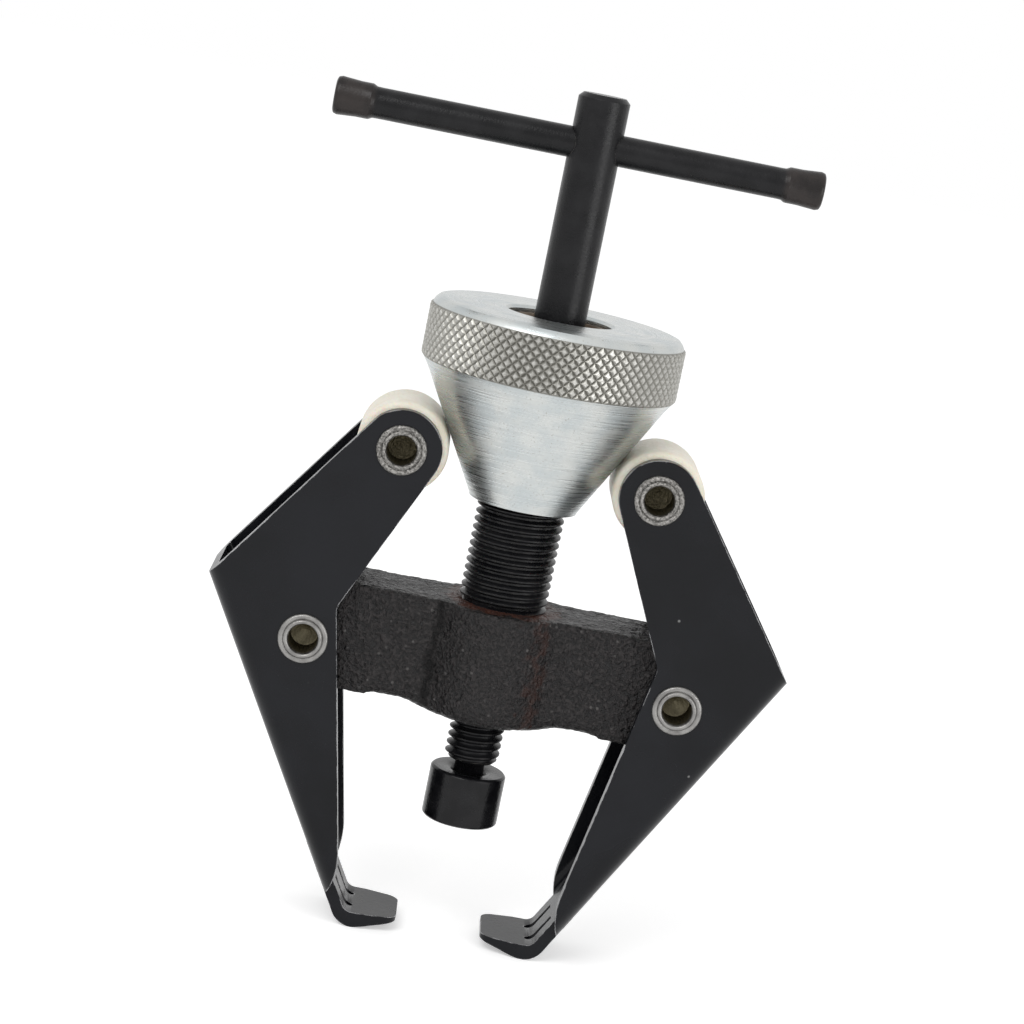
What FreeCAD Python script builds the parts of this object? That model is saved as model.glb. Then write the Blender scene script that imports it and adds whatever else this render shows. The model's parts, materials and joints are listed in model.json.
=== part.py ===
import FreeCAD, Part
import math
import os

import Sketcher

# A small two-jaw puller. A cone nut runs down the threaded spindle of a cast crossbar and spreads
# two rollers at the tops of the arms, which swings the jaws together; a forcing screw through the
# spindle then pushes a pressure pad against the shaft that the jaws pull from.
#
# Millimetres, +Z up along the forcing screw, X along the crossbar, the open view towards -Y.
# The origin is the middle of the pressure pad's pressing face.

doc = FreeCAD.newDocument("gear_puller")
sheet = doc.addObject("Spreadsheet::Sheet", "Size")

DRIVING_SIZES = [
    # crossbar and its pivots
    ("pivot_half_span", 33.7, "screw axis to each arm pivot"),
    ("pivot_height", 30.0, "pad face up to the pivots, as drawn"),
    ("bar_side_clearance", 0.2, "crossbar to the plate on each side"),
    ("bar_top", 11.1, "crossbar top above the pivots"),
    ("bar_end_radius", 8.7, "round end of the crossbar about each pivot"),
    ("bar_shoulder", 4.0, "where the top starts to slope, in from the pivot"),
    ("boss_radius", 13.0, "round boss in the middle of the crossbar"),
    ("boss_drop", 1.6, "boss below the crossbar's underside"),
    ("boss_fillet", 2.0, "hollow between boss and bar"),
    # spindle
    ("spindle_radius", 7.95, "M16 x 1.5 outside thread"),
    ("tenon_step", 0.95, "spindle's plain end in the boss, thinner by"),
    ("spindle_height", 45.0, "spindle above the crossbar's top"),
    ("tapped_length", 32.0, "M10 thread inside the spindle, from the bottom"),
    ("counterbore_clearance", 0.35, "radial, round the screw above its tapped length"),
    ("spindle_chamfer", 0.9, "lead-in at the spindle's top"),
    # forcing screw
    ("screw_thread_radius", 4.95, "M10 x 1.5 thread"),
    ("shaft_relief", 0.35, "plain shaft above the thread, thinner by"),
    ("screw_top", 133.0, "top of the screw above the pad face"),
    ("screw_thread_top", 74.0, "top of the thread above the pad face"),
    ("screw_thread_bottom", 11.4, "bottom of the thread above the pad face"),
    ("screw_chamfer", 0.9, "chamfer on the screw's ends"),
    ("neck_radius", 2.7, "neck below the thread"),
    ("neck_head_radius", 3.5, "head that the pad is swaged over"),
    ("neck_head_height", 2.0, "height of that head"),
    # pressure pad
    ("pad_radius", 6.9, "pressure pad"),
    ("pad_height", 9.5, "pressure pad"),
    ("pad_edge", 0.6, "chamfer on the pad's edges"),
    ("pad_floor", 2.4, "solid metal under the neck's head"),
    # tommy bar
    ("tommy_radius", 2.75, "tommy bar"),
    ("tommy_length", 87.0, "tommy bar over its flared ends"),
    ("tommy_drop", 9.0, "bar axis below the screw's top"),
    ("tommy_offset", 2.75, "how far the bar has slid towards -X"),
    ("flare_step", 0.75, "flared end, wider than the bar by"),
    ("flare_length", 5.0, "full width of the flared end"),
    ("flare_taper", 2.5, "taper between bar and flared end"),
    ("flare_edge", 0.6, "chamfer on the flared end's rim"),
    ("flat_step", 0.05, "flared end's hammered flats, outside the bar by"),
    # cone nut
    ("disc_radius", 23.0, "knurled disc"),
    ("knurl_height", 9.6, "knurled band"),
    ("disc_top_chamfer", 1.4, "chamfer above the knurl"),
    ("disc_low_chamfer", 1.8, "chamfer under the knurl"),
    ("cone_large_radius", 21.4, "cone at the disc"),
    ("cone_wall", 1.95, "wall left round the spindle at the cone's lower end"),
    ("cone_height", 20.8, "cone"),
    ("cone_nose", 0.7, "rounded-off end under the cone"),
    ("mouth_clearance", 1.45, "counterbore in the nut's top, radial round the spindle"),
    ("mouth_depth", 10.0, "counterbore in the nut's top"),
    # arms
    ("arm_width", 21.6, "folded channel over its two plates"),
    ("arm_stock", 2.2, "sheet steel"),
    ("fold_radius", 4.0, "outside of the fold between web and plates"),
    ("axle_half_span", 22.95, "screw axis to each roller's axle"),
    ("eye_up", 36.4, "roller axle above the pivot"),
    ("eye_radius", 7.1, "round upper end of the plates"),
    ("elbow_out", 18.6, "elbow outward of the pivot"),
    ("elbow_up", 7.9, "elbow above the pivot"),
    ("corner_in", 4.8, "plates' inner corner inward of the pivot"),
    ("corner_up", 6.6, "plates' inner corner above the pivot"),
    ("corner_round", 3.0, "rounding of that corner"),
    ("web_slope", 29.8, "web from upright, in degrees"),
    ("plate_end_in", 13.3, "end of the plates' straight inner edge"),
    ("plate_end_down", 37.5, "end of the plates' straight inner edge"),
    ("plate_end_round", 15.0, "curve that runs the plates out into the web"),
    # jaws
    ("jaw_margin", 1.1, "strip below the plates, narrower than the channel each side"),
    ("jaw_narrowing", 1.3, "claw at its tip, narrower each side"),
    ("jaw_taper_length", 6.0, "length of the claw's taper"),
    ("jaw_half_gap", 7.8, "screw axis to each claw's tip"),
    ("jaw_top_down", 49.0, "claw's pulling face below the pivot"),
    ("jaw_tip_thickness", 0.9, "claw at its tip"),
    ("jaw_rise", 14.0, "underside of the claw, in degrees"),
    ("jaw_bend_inside", 2.0, "inside of the bend"),
    ("jaw_bend_outside", 4.2, "outside of the bend"),
    ("bead_radius", 0.9, "pressed grooves inside the bend"),
    ("bead_spacing", 6.4, "between the two grooves"),
    ("bead_length", 6.5, "pressed grooves"),
    ("bead_depth", 0.7, "pressed grooves"),
    # drilled rivets and rollers
    ("rivet_radius", 3.3, "shank of the rivets"),
    ("rivet_wall", 0.7, "wall left round the hole in each end"),
    ("rivet_hole_depth", 7.0, "hole in each end"),
    ("rivet_overhang", 1.15, "rolled head, wider than the shank by"),
    ("rivet_head_height", 0.9, "rolled head"),
    ("rivet_mouth", 0.4, "flare at the mouth of the bore"),
    ("roller_radius", 8.2, "nylon roller"),
    ("roller_edge", 0.5, "chamfer on the roller's rims"),
    # clearances
    ("running_clearance", 0.06, "radial, turning on a rivet or thread"),
    ("rivet_clearance", 0.02, "radial, rivet in the plates"),
    ("tommy_clearance", 0.1, "radial, sliding bar"),
    ("side_clearance", 0.25, "each end of a roller"),
    ("cone_gap", 0.1, "between cone and rollers as drawn"),
    ("pad_clearance", 0.08, "round the neck and its head"),
]

for row, (alias, amount, note) in enumerate(DRIVING_SIZES, start=1):
    sheet.set(f"A{row}", note)
    sheet.set(f"B{row}", str(amount))
    sheet.setAlias(f"B{row}", alias)
doc.recompute()


def with_sheet(expression):
    """The expression with every sheet alias written as Size.alias."""
    words = []
    word = ""
    for character in expression + " ":
        if character.isalnum() or character == "_":
            word += character
            continue
        words.append(f"Size.{word}" if word in ALIASES else word)
        words.append(character)
        word = ""
    return "".join(words).strip()


ALIASES = {alias for alias, _, _ in DRIVING_SIZES}
workings = doc.addObject("Spreadsheet::Sheet", "Workings")


def amount_of(expression):
    """What an expression is worth now, as a plain number, worked out in a spare cell."""
    workings.set("A1", "=" + with_sheet(expression))
    workings.recompute()
    value = workings.get("A1")
    return float(getattr(value, "Value", value))


def bind(thing, prop, expression):
    thing.setExpression(prop, with_sheet(expression))


# Shared expressions -----------------------------------------------------------------------------

BOSS_BOTTOM = "-(bar_end_radius + boss_drop)"
TENON_RADIUS = "(spindle_radius - tenon_step)"
SHAFT_RADIUS = "(screw_thread_radius - shaft_relief)"
FLARE_RADIUS = "(tommy_radius + flare_step)"
CONE_SMALL_RADIUS = "(spindle_radius + cone_wall)"
CONE_SLOPE = f"((cone_large_radius - {CONE_SMALL_RADIUS}) / cone_height)"
SLOT_WIDTH = "(arm_width - 2 * arm_stock)"
EYE_IN = "(pivot_half_span - axle_half_span)"
AXLE_HEIGHT = "pivot_height + eye_up"
JAW_WIDTH = f"({SLOT_WIDTH} - 2 * jaw_margin)"
JAW_TIP_IN = "(pivot_half_span - jaw_half_gap)"
RIVET_BORE_RADIUS = "(rivet_radius - rivet_wall)"
RIVET_HEAD_RADIUS = "(rivet_radius + rivet_overhang)"


def on_web(height, inward="0"):
    """How far inward of the pivot the web's outer face is at a height, moved in by so much stock."""
    return (
        f"(elbow_up - ({height})) * tan(web_slope * 1deg) - elbow_out"
        f" + ({inward}) / cos(web_slope * 1deg)"
    )


# Helpers for bodies, sketches and features ------------------------------------------------------


def new_body(name):
    body = doc.addObject("PartDesign::Body", name)
    body.Label = name
    return body


def sketch_on(body, role, name, offset=None):
    """A sketch on one of the body's own origin planes, moved along its normal by an expression."""
    sketch = body.newObject("Sketcher::SketchObject", f"{body.Name}_{name}")
    plane = next(f for f in body.Origin.OriginFeatures if f.Role == role)
    sketch.AttachmentSupport = [(plane, "")]
    sketch.MapMode = "FlatFace"
    if offset:
        bind(sketch, "AttachmentOffset.Base.z", offset)
    return sketch


def hold(sketch, geometry, vertex, across, up):
    """Tie a vertex of the sketch to the origin with two bound distances."""
    for kind, expression, axis in (("DistanceX", across, -2), ("DistanceY", up, -1)):
        amount = amount_of(expression)
        if abs(amount) < 1e-9:
            sketch.addConstraint(Sketcher.Constraint("PointOnObject", geometry, vertex, axis))
            continue
        if amount > 0:
            ends = (-1, 1, geometry, vertex)
            signed = expression
        else:
            ends = (geometry, vertex, -1, 1)
            signed = f"-({expression})"
        index = sketch.addConstraint(Sketcher.Constraint(kind, *ends, abs(amount)))
        bind(sketch, f"Constraints[{index}]", signed)


def size(sketch, kind, geometry, expression):
    index = sketch.addConstraint(Sketcher.Constraint(kind, geometry, amount_of(expression)))
    bind(sketch, f"Constraints[{index}]", expression)


def tangent(sketch, first, first_end, second, second_end):
    sketch.addConstraint(Sketcher.Constraint("Tangent", first, first_end, second, second_end))


def meet(sketch, first, first_end, second, second_end):
    sketch.addConstraint(Sketcher.Constraint("Coincident", first, first_end, second, second_end))


def polygon(sketch, corners):
    """A closed outline through corners given as pairs of expressions."""
    first = len(sketch.Geometry)
    count = len(corners)
    points = [FreeCAD.Vector(amount_of(a), amount_of(b), 0) for a, b in corners]
    for i, start in enumerate(points):
        sketch.addGeometry(Part.LineSegment(start, points[(i + 1) % count]), False)
    for i, (across, up) in enumerate(corners):
        meet(sketch, first + i, 2, first + (i + 1) % count, 1)
        hold(sketch, first + i, 1, across, up)


def circle(sketch, across, up, radius):
    centre = FreeCAD.Vector(amount_of(across), amount_of(up), 0)
    ring = Part.Circle(centre, FreeCAD.Vector(0, 0, 1), amount_of(radius))
    index = sketch.addGeometry(ring, False)
    hold(sketch, index, 3, across, up)
    size(sketch, "Radius", index, radius)


def pad(body, sketch, width):
    """Material to both sides of the sketch, so much in all."""
    feature = body.newObject("PartDesign::Pad", f"{sketch.Name}_pad")
    feature.Profile = sketch
    feature.SideType = "Symmetric"
    bind(feature, "Length", width)
    doc.recompute()
    return feature


def cut(body, sketch, width=None):
    """Take the sketch out to both sides: so much in all, or right through."""
    before = body.Shape.Volume
    feature = body.newObject("PartDesign::Pocket", f"{sketch.Name}_cut")
    feature.Profile = sketch
    feature.SideType = "Symmetric"
    if width:
        bind(feature, "Length", width)
    else:
        feature.Type = "ThroughAll"
    doc.recompute()
    if body.Shape.Volume >= before:
        raise RuntimeError(f"{feature.Name} cut nothing")
    return feature


def turn(body, role, name, corners, kind="PartDesign::Revolution"):
    """Revolve an outline of (radius, along) about the sketch's upright axis."""
    sketch = sketch_on(body, role, name)
    polygon(sketch, corners)
    feature = body.newObject(kind, f"{sketch.Name}_turned")
    feature.Profile = sketch
    feature.ReferenceAxis = (sketch, ["V_Axis"])
    feature.Angle = 360
    doc.recompute()
    return feature


def edges_where(shape, test):
    return [f"Edge{i}" for i, edge in enumerate(shape.Edges, start=1) if test(edge)]


def ease(body, kind, prop, expression, test):
    """Fillet or chamfer the edges of the body's tip that pass the test."""
    base = body.Tip
    names = edges_where(base.Shape, test)
    if not names:
        raise RuntimeError(f"{body.Name}: no edge to ease")
    feature = body.newObject(f"PartDesign::{kind}", f"{body.Name}_{kind.lower()}")
    feature.Base = (base, names)
    bind(feature, prop, expression)
    doc.recompute()
    if "Invalid" in feature.State:
        raise RuntimeError(f"{feature.Name}: {feature.getStatusString()}")
    return feature


def place(body, x="0", y="0", z="0", turned=0):
    body.Placement = FreeCAD.Placement(
        FreeCAD.Vector(amount_of(x), amount_of(y), amount_of(z)),
        FreeCAD.Rotation(FreeCAD.Vector(0, 0, 1), turned),
    )
    for axis, expression in (("x", x), ("y", y), ("z", z)):
        bind(body, f"Placement.Base.{axis}", expression)


def is_straight(edge):
    return not edge.Degenerated and isinstance(edge.Curve, Part.Line)


# Crossbar and spindle ---------------------------------------------------------------------------


def crossbar():
    """A cast bar with half-round ends, a round boss, a pivot hole at each end and a middle bore."""
    body = new_body("crossbar")
    sketch = sketch_on(body, "XZ_Plane", "side")
    span = amount_of("pivot_half_span")
    end = amount_of("bar_end_radius")
    top = amount_of("bar_top")
    shoulder = span - amount_of("bar_shoulder")
    # the sloping edge leaves the shoulder and touches the round end
    reach = math.hypot(span - shoulder, top)
    lean = math.atan2(top, shoulder - span) - math.acos(end / reach)

    def at(x, z):
        return FreeCAD.Vector(x, z, 0)

    right = at(span + end * math.cos(lean), end * math.sin(lean))
    left = at(-right.x, right.y)
    up = FreeCAD.Vector(0, 0, 1)
    right_end = Part.ArcOfCircle(Part.Circle(at(span, 0), up, end), -math.pi / 2, lean)
    left_end = Part.ArcOfCircle(Part.Circle(at(-span, 0), up, end), math.pi - lean, math.pi * 1.5)
    for piece in (
        Part.LineSegment(at(-span, -end), at(span, -end)),
        right_end,
        Part.LineSegment(right, at(shoulder, top)),
        Part.LineSegment(at(shoulder, top), at(-shoulder, top)),
        Part.LineSegment(at(-shoulder, top), left),
        left_end,
    ):
        sketch.addGeometry(piece, False)
    tangent(sketch, 0, 2, 1, 1)
    tangent(sketch, 1, 2, 2, 1)
    meet(sketch, 2, 2, 3, 1)
    meet(sketch, 3, 2, 4, 1)
    tangent(sketch, 4, 2, 5, 1)
    tangent(sketch, 5, 2, 0, 1)
    hold(sketch, 1, 3, "pivot_half_span", "0")
    hold(sketch, 5, 3, "-pivot_half_span", "0")
    hold(sketch, 3, 1, "pivot_half_span - bar_shoulder", "bar_top")
    hold(sketch, 3, 2, "bar_shoulder - pivot_half_span", "bar_top")
    size(sketch, "Radius", 1, "bar_end_radius")
    sketch.addConstraint(Sketcher.Constraint("Equal", 1, 5))
    pad(body, sketch, f"{SLOT_WIDTH} - 2 * bar_side_clearance")

    turn(body, "XZ_Plane", "boss", [
        ("0", BOSS_BOTTOM),
        ("boss_radius", BOSS_BOTTOM),
        ("boss_radius", "bar_top"),
        ("0", "bar_top"),
    ])
    ease(body, "Fillet", "Radius", "boss_fillet",
         lambda edge: is_straight(edge) and abs(edge.Length - abs(edge.BoundBox.ZLength)) < 1e-6
         and abs(math.hypot(edge.CenterOfMass.x, edge.CenterOfMass.y) - amount_of("boss_radius")) < 0.01
         and abs(edge.CenterOfMass.x) > 1)
    turn(body, "XZ_Plane", "bore", [
        ("0", BOSS_BOTTOM + " - 1"),
        (TENON_RADIUS, BOSS_BOTTOM + " - 1"),
        (TENON_RADIUS, "bar_top + 1"),
        ("0", "bar_top + 1"),
    ], kind="PartDesign::Groove")
    holes = sketch_on(body, "XZ_Plane", "pivots")
    circle(holes, "pivot_half_span", "0", "rivet_radius + running_clearance")
    circle(holes, "-pivot_half_span", "0", "rivet_radius + running_clearance")
    cut(body, holes)
    place(body, z="pivot_height")
    return body


def spindle():
    """A hollow threaded post: pressed into the boss, tapped below and opened out above."""
    body = new_body("spindle")
    top = "bar_top + spindle_height"
    tapped = f"{BOSS_BOTTOM} + tapped_length"
    bore = "screw_thread_radius + running_clearance"
    counterbore = "screw_thread_radius + counterbore_clearance"
    turn(body, "XZ_Plane", "profile", [
        (bore, BOSS_BOTTOM),
        (TENON_RADIUS, BOSS_BOTTOM),
        (TENON_RADIUS, "bar_top"),
        ("spindle_radius", "bar_top"),
        ("spindle_radius", f"{top} - spindle_chamfer"),
        ("spindle_radius - spindle_chamfer", top),
        (counterbore, top),
        (counterbore, tapped),
        (bore, tapped),
    ])
    place(body, z="pivot_height")
    return body


# Forcing screw, tommy bar and pressure pad ------------------------------------------------------


def forcing_screw():
    """Thread, plain shaft with a cross hole, and a headed neck that the pad hangs on."""
    body = new_body("forcing_screw")
    head_bottom = "pad_floor + pad_clearance"
    head_top = f"{head_bottom} + neck_head_height"
    turn(body, "XZ_Plane", "profile", [
        ("0", head_bottom),
        ("neck_head_radius", head_bottom),
        ("neck_head_radius", head_top),
        ("neck_radius", head_top),
        ("neck_radius", "screw_thread_bottom"),
        ("screw_thread_radius - screw_chamfer", "screw_thread_bottom"),
        ("screw_thread_radius", "screw_thread_bottom + screw_chamfer"),
        ("screw_thread_radius", "screw_thread_top"),
        (SHAFT_RADIUS, "screw_thread_top + shaft_relief"),
        (SHAFT_RADIUS, "screw_top - screw_chamfer"),
        (f"{SHAFT_RADIUS} - screw_chamfer", "screw_top"),
        ("0", "screw_top"),
    ])
    hole = sketch_on(body, "YZ_Plane", "cross_hole")
    circle(hole, "0", "screw_top - tommy_drop", "tommy_radius + tommy_clearance")
    cut(body, hole)
    place(body)
    return body


def tommy_bar():
    """A round bar whose ends are flared and hammered a little flat, so that it can't slide out."""
    body = new_body("tommy_bar")
    half = "tommy_length / 2"
    full = f"{half} - flare_length"
    taper = f"{full} - flare_taper"
    sketch = sketch_on(body, "XY_Plane", "profile")
    polygon(sketch, [
        (f"-({half})", "0"),
        (f"-({half})", f"{FLARE_RADIUS} - flare_edge"),
        (f"-({half}) + flare_edge", FLARE_RADIUS),
        (f"-({full})", FLARE_RADIUS),
        (f"-({taper})", "tommy_radius"),
        (taper, "tommy_radius"),
        (full, FLARE_RADIUS),
        (f"{half} - flare_edge", FLARE_RADIUS),
        (half, f"{FLARE_RADIUS} - flare_edge"),
        (half, "0"),
    ])
    feature = body.newObject("PartDesign::Revolution", "tommy_bar_turned")
    feature.Profile = sketch
    feature.ReferenceAxis = (sketch, ["H_Axis"])
    feature.Angle = 360
    doc.recompute()
    flats = sketch_on(body, "XY_Plane", "flats")
    reach = "tommy_length"
    for side in ("", "-"):
        polygon(flats, [
            (f"-{reach}", f"{side}(tommy_radius + flat_step)"),
            (reach, f"{side}(tommy_radius + flat_step)"),
            (reach, f"{side}{FLARE_RADIUS} * 2"),
            (f"-{reach}", f"{side}{FLARE_RADIUS} * 2"),
        ])
    cut(body, flats)
    place(body, x="-tommy_offset", z="screw_top - tommy_drop")
    return body


def pressure_pad():
    """A round pad swaged over the neck's head, so that it stays still while the screw turns."""
    body = new_body("pressure_pad")
    head_room = "neck_head_radius + pad_clearance"
    head_ceiling = "pad_floor + 2 * pad_clearance + neck_head_height"
    throat = "neck_radius + pad_clearance"
    turn(body, "XZ_Plane", "profile", [
        ("0", "0"),
        ("pad_radius - pad_edge", "0"),
        ("pad_radius", "pad_edge"),
        ("pad_radius", "pad_height - pad_edge"),
        ("pad_radius - pad_edge", "pad_height"),
        (throat, "pad_height"),
        (throat, head_ceiling),
        (head_room, head_ceiling),
        (head_room, "pad_floor"),
        ("0", "pad_floor"),
    ])
    place(body)
    return body


# Cone nut ---------------------------------------------------------------------------------------


def cone_nut():
    """A knurled disc over a cone, one turned piece, tapped for the spindle."""
    body = new_body("cone_nut")
    bore = "spindle_radius + running_clearance"
    disc_bottom = "cone_height + cone_nose"
    knurl_bottom = f"{disc_bottom} + disc_low_chamfer"
    knurl_top = f"{knurl_bottom} + knurl_height"
    top = f"{knurl_top} + disc_top_chamfer"
    mouth = "(spindle_radius + mouth_clearance)"
    tapped_top = f"{top} - mouth_depth"
    turn(body, "XZ_Plane", "profile", [
        (bore, "0"),
        (f"{CONE_SMALL_RADIUS} - cone_nose", "0"),
        (CONE_SMALL_RADIUS, "cone_nose"),
        ("cone_large_radius", disc_bottom),
        ("disc_radius", knurl_bottom),
        ("disc_radius", knurl_top),
        ("disc_radius - disc_top_chamfer", top),
        (mouth, top),
        (mouth, tapped_top),
        (bore, f"{tapped_top} - {mouth} + {bore}"),
    ])
    # the cone rests against both rollers, a cone_gap away
    reach = f"(roller_radius + cone_gap) * sqrt(1 + {CONE_SLOPE} * {CONE_SLOPE})"
    rise = f"(axle_half_span - {reach} - {CONE_SMALL_RADIUS}) / {CONE_SLOPE}"
    place(body, z=f"{AXLE_HEIGHT} - {rise} - cone_nose")
    return body


# Arms -------------------------------------------------------------------------------------------


def plate_outline(sketch):
    """The plates seen from the side: elbow, round eye, inner corner and the run-out at the jaw."""
    def at(across, up):
        return FreeCAD.Vector(amount_of(across), amount_of(up), 0)

    elbow = at("-elbow_out", "elbow_up")
    eye = at(EYE_IN, "eye_up")
    corner = at("corner_in", "corner_up")
    end = at("plate_end_in", "-plate_end_down")
    eye_radius = amount_of("eye_radius")
    end_radius = amount_of("plate_end_round")

    def touch(point, side):
        """Angle at which the line from a point touches the eye, on its left (+1) or right (-1)."""
        out = point - eye
        return math.atan2(out.y, out.x) - side * math.acos(eye_radius / out.Length)

    start = touch(corner, -1)
    stop = touch(elbow, 1)
    while stop < start:
        stop += 2 * math.pi

    def on_eye(angle):
        return eye + FreeCAD.Vector(math.cos(angle), math.sin(angle), 0) * eye_radius

    edge = end - corner
    edge.normalize()
    centre = end + FreeCAD.Vector(edge.y, -edge.x, 0) * end_radius
    slope = math.radians(amount_of("web_slope"))
    # the run-out arc meets the web's outer line
    web = FreeCAD.Vector(math.sin(slope), -math.cos(slope), 0)
    offset = centre - elbow
    along = offset.dot(web)
    across = (offset - web * along).Length
    low = elbow + web * (along + math.sqrt(end_radius**2 - across**2))
    up = FreeCAD.Vector(0, 0, 1)
    low_angle = math.atan2(low.y - centre.y, low.x - centre.x)
    end_angle = math.atan2(end.y - centre.y, end.x - centre.x)
    for piece in (
        Part.LineSegment(elbow, on_eye(stop)),
        Part.ArcOfCircle(Part.Circle(eye, up, eye_radius), start, stop),
        Part.LineSegment(on_eye(start), corner),
        Part.LineSegment(corner, end),
        Part.ArcOfCircle(Part.Circle(centre, up, end_radius), low_angle, end_angle),
        Part.LineSegment(low, elbow),
    ):
        sketch.addGeometry(piece, False)
    tangent(sketch, 0, 2, 1, 2)
    tangent(sketch, 1, 1, 2, 1)
    meet(sketch, 2, 2, 3, 1)
    tangent(sketch, 3, 2, 4, 2)
    meet(sketch, 4, 1, 5, 1)
    meet(sketch, 5, 2, 0, 1)
    hold(sketch, 0, 1, "-elbow_out", "elbow_up")
    hold(sketch, 1, 3, EYE_IN, "eye_up")
    size(sketch, "Radius", 1, "eye_radius")
    hold(sketch, 3, 1, "corner_in", "corner_up")
    hold(sketch, 3, 2, "plate_end_in", "-plate_end_down")
    size(sketch, "Radius", 4, "plate_end_round")
    index = sketch.addConstraint(
        Sketcher.Constraint("Angle", 5, math.pi / 2 + slope)
    )
    bind(sketch, f"Constraints[{index}]", "90deg + web_slope * 1deg")


def jaw_outline(sketch):
    """The strip below the plates seen from the side: down the web, round the bend, out to the tip."""
    slope = math.radians(amount_of("web_slope"))
    rise = math.radians(amount_of("jaw_rise"))
    outside = amount_of("jaw_bend_outside")
    inside = amount_of("jaw_bend_inside")
    stock = amount_of("arm_stock")
    down = FreeCAD.Vector(math.sin(slope), -math.cos(slope), 0)
    inward = FreeCAD.Vector(math.cos(slope), math.sin(slope), 0)
    out = FreeCAD.Vector(math.cos(rise), math.sin(rise), 0)
    upward = FreeCAD.Vector(-math.sin(rise), math.cos(rise), 0)
    start = FreeCAD.Vector(amount_of(on_web("-plate_end_down")), -amount_of("plate_end_down"), 0)
    tip_top = FreeCAD.Vector(amount_of(JAW_TIP_IN), -amount_of("jaw_top_down"), 0)
    tip_low = tip_top - FreeCAD.Vector(0, amount_of("jaw_tip_thickness"), 0)

    def crossing(first, first_way, second, second_way):
        """Where two lines meet."""
        gap = second - first
        bottom = first_way.x * second_way.y - first_way.y * second_way.x
        return first + first_way * ((gap.x * second_way.y - gap.y * second_way.x) / bottom)

    level = FreeCAD.Vector(1, 0, 0)
    high = FreeCAD.Vector(0, 1, 0)
    big = crossing(start + inward * outside, down, tip_low + upward * outside, out)
    small = crossing(start + inward * (stock + inside), down, tip_top + high * inside, level)
    flank = start + inward * stock
    up = FreeCAD.Vector(0, 0, 1)
    web_turn = math.pi + slope
    for piece in (
        Part.LineSegment(start, big - inward * outside),
        Part.ArcOfCircle(Part.Circle(big, up, outside), web_turn, 1.5 * math.pi + rise),
        Part.LineSegment(big - upward * outside, tip_low),
        Part.LineSegment(tip_low, tip_top),
        Part.LineSegment(tip_top, small - high * inside),
        Part.ArcOfCircle(Part.Circle(small, up, inside), web_turn, 1.5 * math.pi),
        Part.LineSegment(small - inward * inside, flank),
        Part.LineSegment(flank, start),
    ):
        sketch.addGeometry(piece, False)
    tangent(sketch, 0, 2, 1, 1)
    tangent(sketch, 1, 2, 2, 1)
    meet(sketch, 2, 2, 3, 1)
    meet(sketch, 3, 2, 4, 1)
    tangent(sketch, 4, 2, 5, 2)
    tangent(sketch, 5, 1, 6, 1)
    meet(sketch, 6, 2, 7, 1)
    meet(sketch, 7, 2, 0, 1)
    sketch.addConstraint(Sketcher.Constraint("Vertical", 3))
    sketch.addConstraint(Sketcher.Constraint("Horizontal", 4))
    sketch.addConstraint(Sketcher.Constraint("Parallel", 6, 0))
    hold(sketch, 0, 1, on_web("-plate_end_down"), "-plate_end_down")
    hold(sketch, 7, 1, f"{on_web('-plate_end_down')} + arm_stock * cos(web_slope * 1deg)",
         "arm_stock * sin(web_slope * 1deg) - plate_end_down")
    hold(sketch, 3, 2, JAW_TIP_IN, "-jaw_top_down")
    size(sketch, "Radius", 1, "jaw_bend_outside")
    size(sketch, "Radius", 5, "jaw_bend_inside")
    size(sketch, "Distance", 3, "jaw_tip_thickness")
    index = sketch.addConstraint(Sketcher.Constraint("Angle", 0, slope - math.pi / 2))
    bind(sketch, f"Constraints[{index}]", "web_slope * 1deg - 90deg")
    index = sketch.addConstraint(Sketcher.Constraint("Angle", 2, rise))
    bind(sketch, f"Constraints[{index}]", "jaw_rise * 1deg")


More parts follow.
